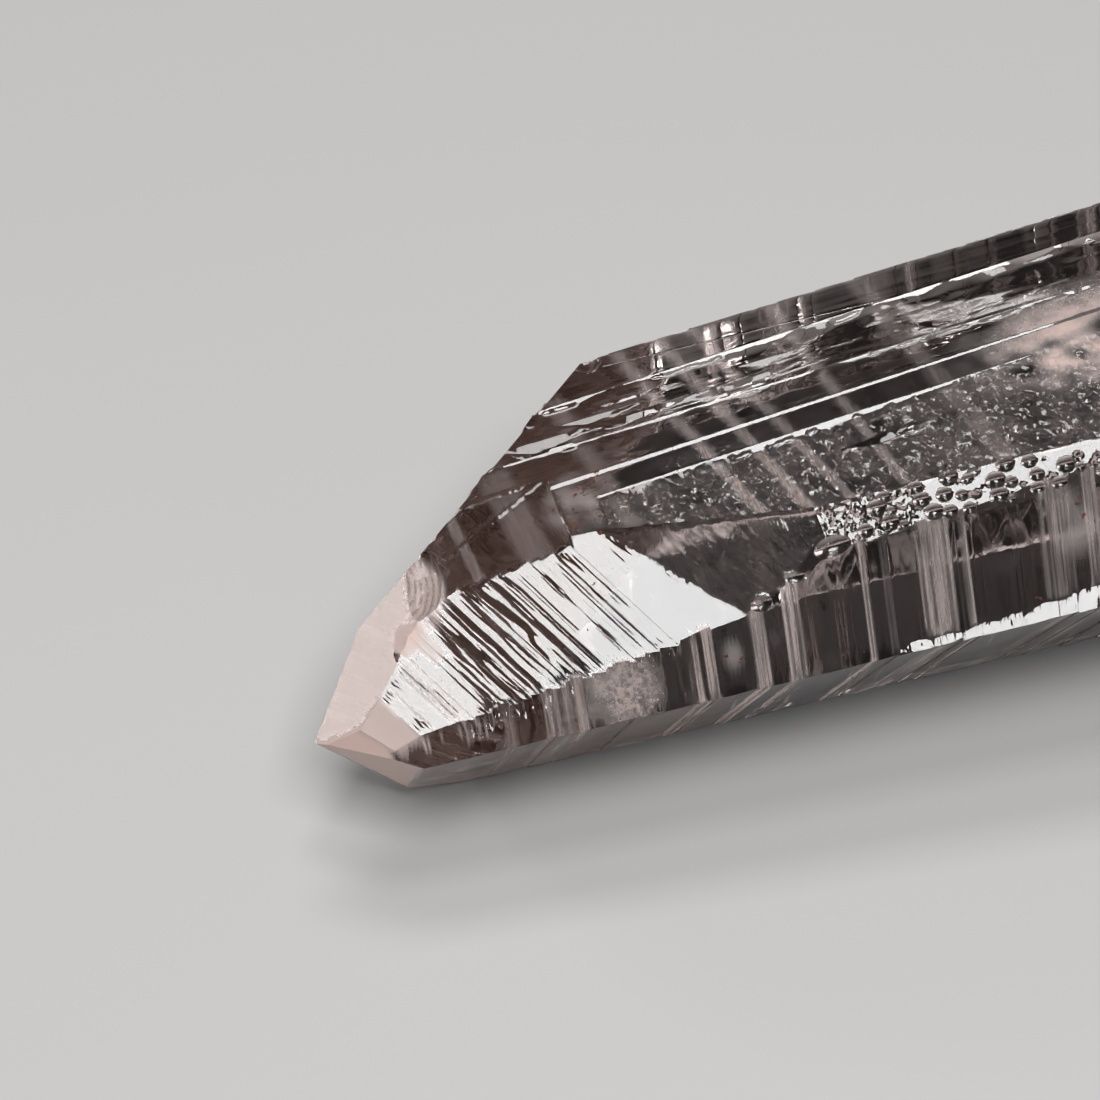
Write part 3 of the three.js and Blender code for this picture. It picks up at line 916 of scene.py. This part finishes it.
stain = np.clip(1.6 * (p[:, 0] - STAINED_FROM), 0, 1)
stain *= 0.95 + 0.15 * wander(p, (2, 2, 2), 46, 2)
stain += 0.15 * on_top * patch(p, *RIGHT_STAIN) * np.clip(0.6 + soft, 0, 1)
for place, share in FRONT_STAINS:
    stain += share * on_front * patch(p, *place) * np.clip(0.8 + soft, 0, 1.2)
stain += 0.3 * by_top * patch(p, *RUSTY_SPOT) * np.clip(0.5 + soft, 0, 1)
for name, values in (("bars", bars), ("haze", haze), ("frost", frost), ("stain", stain)):
    layer = mesh.attributes.new(name, "FLOAT", "POINT")
    layer.data.foreach_set("value", np.clip(values, 0, 1).astype(np.float32))


# Materials
def new_material(name):
    """A new material, its node tree and its shader."""
    material = bpy.data.materials.new(name)
    material.use_nodes = True
    return material, material.node_tree, material.node_tree.nodes["Principled BSDF"]


def node(tree, kind, **values):
    """Adds a node and sets its sockets by name, with _ for a space."""
    made = tree.nodes.new("ShaderNode" + kind)
    for key, value in values.items():
        made.inputs[key.replace("_", " ")].default_value = value
    return made


def local_noise(tree, size, detail):
    """Noise that stays with the object, with features of so many millimetres each way."""
    place = tree.nodes.new("ShaderNodeTexCoord")
    stretch = node(tree, "Mapping", Scale=[1 / (part * MM) for part in size])
    pattern = node(tree, "TexNoise", Scale=1.0, Detail=detail)
    tree.links.new(place.outputs["Object"], stretch.inputs["Vector"])
    tree.links.new(stretch.outputs[0], pattern.inputs["Vector"])
    return pattern.outputs["Fac"]


def ranged(tree, value, low, high, to_low, to_high):
    """Maps one range of a value to another, cut off at both ends."""
    made = tree.nodes.new("ShaderNodeMapRange")
    for name, number in (("From Min", low), ("From Max", high), ("To Min", to_low),
                         ("To Max", to_high)):
        made.inputs[name].default_value = number
    tree.links.new(value, made.inputs["Value"])
    return made.outputs["Result"]


def combined(tree, operation, first, second, third=None):
    """Math on values or numbers, cut off at 0 and 1."""
    made = tree.nodes.new("ShaderNodeMath")
    made.operation = operation
    made.use_clamp = True
    for socket, value in zip(made.inputs, (first, second, third)):
        if isinstance(value, (int, float)):
            socket.default_value = value
        elif value is not None:
            tree.links.new(value, socket)
    return made.outputs[0]


def attribute(tree, name):
    """A value of the points of a mesh."""
    made = tree.nodes.new("ShaderNodeAttribute")
    made.attribute_name = name
    return made.outputs["Fac"]


def blend(tree, share, first, second):
    """Mixes two colours, the first of them a colour or a socket."""
    made = tree.nodes.new("ShaderNodeMix")
    made.data_type = "RGBA"
    colours = [socket for socket in made.inputs if socket.type == "RGBA"]
    tree.links.new(share, made.inputs[0])
    for socket, colour in zip(colours, (first, second)):
        if isinstance(colour, tuple):
            socket.default_value = (*colour, 1)
        else:
            tree.links.new(colour, socket)
    return next(socket for socket in made.outputs if socket.type == "RGBA")


def bump(tree, shader, height, distance, strength=1.0):
    """Bumps of a height in metres, as strong as a number or a value says."""
    made = node(tree, "Bump", Distance=distance)
    if isinstance(strength, float):
        made.inputs["Strength"].default_value = strength
    else:
        tree.links.new(strength, made.inputs["Strength"])
    tree.links.new(height, made.inputs["Height"])
    tree.links.new(made.outputs[0], shader.inputs["Normal"])


# See-through quartz by plain transmission, refraction and absorption, less clear where the
# surface is milky, hazy or stained
QUARTZ_IOR = 1.544
ABSORPTION = (0.955, 0.85, 0.835, 1)
ABSORPTION_DENSITY = 11
CLEAR = (0.975, 0.9, 0.885)
MILKY = (0.94, 0.7, 0.63)
STAINED = (0.34, 0.22, 0.155)
BUMP_HEIGHT = 0.02 * MM
quartz, tree, shader = new_material("quartz")
shader.inputs["IOR"].default_value = QUARTZ_IOR
absorb = node(tree, "VolumeAbsorption", Color=ABSORPTION, Density=ABSORPTION_DENSITY)
tree.links.new(absorb.outputs[0], tree.nodes["Material Output"].inputs["Volume"])
bar_grain = ranged(tree, local_noise(tree, (0.1, 3, 3), 3), 0.3, 0.7, 0.4, 1.2)
haze_grain = ranged(tree, local_noise(tree, (0.3, 0.3, 0.3), 5), 0.32, 0.68, 0.25, 1.25)
# Sharp milky flecks over hazy places: a frosted grain of the etched surface that is also whitened
# to stand in for its glints, a painted highlight
frost_flecks_and_glints = ranged(tree, local_noise(tree, (0.16, 0.16, 0.16), 2), 0.62, 0.7, 0, 0.6)
milky = combined(tree, "MULTIPLY", attribute(tree, "bars"), bar_grain)
milky = combined(tree, "MULTIPLY_ADD", attribute(tree, "haze"), haze_grain, milky)
hazy = ranged(tree, attribute(tree, "haze"), 0, 0.15, 0, 1)
milky = combined(tree, "MULTIPLY_ADD", frost_flecks_and_glints, hazy, milky)
milky = combined(tree, "ADD", attribute(tree, "frost"), milky)
rust_grain = ranged(tree, local_noise(tree, (0.9, 0.9, 0.9), 4), 0.3, 0.6, 0.84, 1.0)
rusty = combined(tree, "MULTIPLY", attribute(tree, "stain"), rust_grain)
smears = ranged(tree, local_noise(tree, (5, 3, 3), 3), 0.45, 0.75, 0.0, 0.06)
rough = combined(tree, "MULTIPLY_ADD", milky, 0.5, smears)
rough = combined(tree, "MULTIPLY_ADD", rusty, 0.55, rough)
clear = combined(tree, "MULTIPLY_ADD", milky, -0.42, 1.0)
clear = combined(tree, "MULTIPLY_ADD", attribute(tree, "frost"), -0.15, clear)
clear = combined(tree, "MULTIPLY_ADD", rusty, -0.95, clear)
tree.links.new(rough, shader.inputs["Roughness"])
tree.links.new(clear, shader.inputs["Transmission Weight"])
colour = blend(tree, milky, CLEAR, MILKY)
colour = blend(tree, rusty, colour, STAINED)
tree.links.new(colour, shader.inputs["Base Color"])
scratches = local_noise(tree, (0.14, 0.35, 0.35), 3)
bump(tree, shader, scratches, BUMP_HEIGHT, hazy)
mesh.materials.append(quartz)

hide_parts("quartz_point")
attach(crystal, "root")

# Rust specks, half sunk in the surface, in clusters with a middle, a reach and a count, and some
# all over the crystal but not on the face that it rests on
RUST_DARK = (0.07, 0.012, 0.008)
RUST_LIGHT = (0.13, 0.04, 0.018)
ALL_OVER = 90
RESTING_BELOW = 0.5
CLUSTERS = [((-36.5, -1.1, 19.8), 0.8, 9), ((-38.8, -2.1, 19.7), 1.1, 14),
            ((-38.3, -4.6, 19.9), 0.9, 6), ((-39.2, -7.9, 18.3), 0.6, 3),
            ((-31.6, -13.4, 15.3), 0.6, 5), ((-9.0, -12.6, 20.6), 1.2, 8),
            ((-12.2, -15.4, 15.7), 0.5, 2), ((-23.2, -15.0, 14.4), 0.4, 2)]


def rust_specks():
    """One mesh of small irregular grains on the surface of the crystal."""
    dice = random.Random(51)
    tree = BVHTree.FromPolygons([tuple(p) for p in points], faces)
    shape = bmesh.new()
    aims = []
    for middle, reach, count in CLUSTERS:
        for _ in range(count):
            away = Vector((dice.uniform(-1, 1), dice.uniform(-1, 1), dice.uniform(-1, 1)))
            aims.append((Vector(middle) + reach * away, 0.05 + 0.15 * dice.random() ** 2))
    for _ in range(ALL_OVER):
        angle = dice.uniform(0, 2 * math.pi)
        aim = Vector((dice.uniform(-44, 50), 18 * math.cos(angle), 13 + 14 * math.sin(angle)))
        aims.append((aim, 0.05 + 0.12 * dice.random() ** 2))
    for aim, radius in aims:
        place, normal, *_ = tree.find_nearest(aim)
        if place.z < RESTING_BELOW:
            continue
        grain = bmesh.ops.create_icosphere(shape, subdivisions=2, radius=radius)["verts"]
        size = (1, dice.uniform(0.5, 1), 0.35)
        turn = normal.to_track_quat("Z", "Y")
        spin = Matrix.Rotation(dice.uniform(0, 6.3), 3, "Z")
        shift = Vector((dice.uniform(-9, 9), dice.uniform(-9, 9), 0))
        for vert in grain:
            lump = 1 + 0.35 * noise.noise(vert.co / radius + shift)
            co = Vector(a * b * lump for a, b in zip(vert.co, size))
            vert.co = place - 0.12 * radius * normal + turn @ (spin @ co)
    for vert in shape.verts:
        vert.co = Vector(min(max(c, a), b) * MM for c, a, b in zip(vert.co, low, high))
    made = bpy.data.meshes.new("rust_specks")
    shape.to_mesh(made)
    shape.free()
    made.shade_smooth()
    thing = bpy.data.objects.new("rust_specks", made)
    scene.collection.objects.link(thing)
    return thing


specks = rust_specks()
rust, tree, shader = new_material("rust")
ruddy = ranged(tree, local_noise(tree, (0.8, 0.8, 0.8), 2), 0.35, 0.65, 0, 1)
tree.links.new(blend(tree, ruddy, RUST_DARK, RUST_LIGHT), shader.inputs["Base Color"])
dull = ranged(tree, local_noise(tree, (0.1, 0.1, 0.1), 3), 0.3, 0.7, 0.45, 0.9)
tree.links.new(dull, shader.inputs["Roughness"])
bump(tree, shader, local_noise(tree, (0.06, 0.06, 0.06), 3), BUMP_HEIGHT)
specks.data.materials.append(rust)
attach(specks, "root")

# Floor and light, in metres
FLOOR_RADIUS = 1.6
FLOOR_COLOUR = (0.5, 0.495, 0.49, 1)
WORLD_COLOUR = (0.013, 0.0125, 0.0125, 1)
# A hair of air under the resting face, as under a real one, so that light turns back at it
AIR = 0.12 * MM
# The place that the lamps face
LIT = Vector((-0.02, 0, 0.015))
floor_mesh = bpy.data.meshes.new("floor")
shape = bmesh.new()
bmesh.ops.create_circle(shape, cap_ends=True, segments=128, radius=FLOOR_RADIUS)
shape.to_mesh(floor_mesh)
shape.free()
floor = bpy.data.objects.new("floor", floor_mesh)
scene.collection.objects.link(floor)
floor.location.z = -AIR
pale, tree, shader = new_material("pale_floor")
shader.inputs["Base Color"].default_value = FLOOR_COLOUR
shader.inputs["Roughness"].default_value = 0.8
floor_mesh.materials.append(pale)

scene.world = bpy.data.worlds.new("studio")
scene.world.use_nodes = True
scene.world.node_tree.nodes["Background"].inputs["Color"].default_value = WORLD_COLOUR


def softbox(name, azimuth, elevation, distance, size, radiance, roll=0, colour=(1, 1, 1)):
    """A lamp that faces the crystal from an azimuth off +X and an elevation, in degrees."""
    lamp = bpy.data.lights.new(name, "AREA")
    lamp.shape = "RECTANGLE"
    lamp.size, lamp.size_y = size
    lamp.energy = radiance * math.pi * size[0] * size[1]
    lamp.color = colour
    thing = bpy.data.objects.new(name, lamp)
    scene.collection.objects.link(thing)
    a, e = math.radians(azimuth), math.radians(elevation)
    way = Vector((math.cos(a) * math.cos(e), math.sin(a) * math.cos(e), math.sin(e)))
    thing.location = LIT + way * distance
    thing.rotation_euler = (-way).to_track_quat("-Z", "Y").to_euler()
    thing.rotation_euler.rotate_axis("Z", math.radians(roll))


softbox("softbox_high", -98, 66, 0.6, (0.29, 0.21), 16, roll=-28)
softbox("softbox_top", 0, 86, 0.6, (0.11, 0.11), 16)
softbox("softbox_back", 88, 70, 0.7, (0.3, 0.15), 9)
softbox("strip_low", -77.3, 6.3, 0.6, (0.11, 0.026), 16)
softbox("softbox_tip", 141, 21.5, 0.6, (0.13, 0.1), 10.5, colour=(1, 0.87, 0.83))

scene.view_settings.view_transform = "Standard"
scene.cycles.caustics_refractive = False
scene.cycles.max_bounces = 32
scene.cycles.transmission_bounces = 32
scene.cycles.glossy_bounces = 16
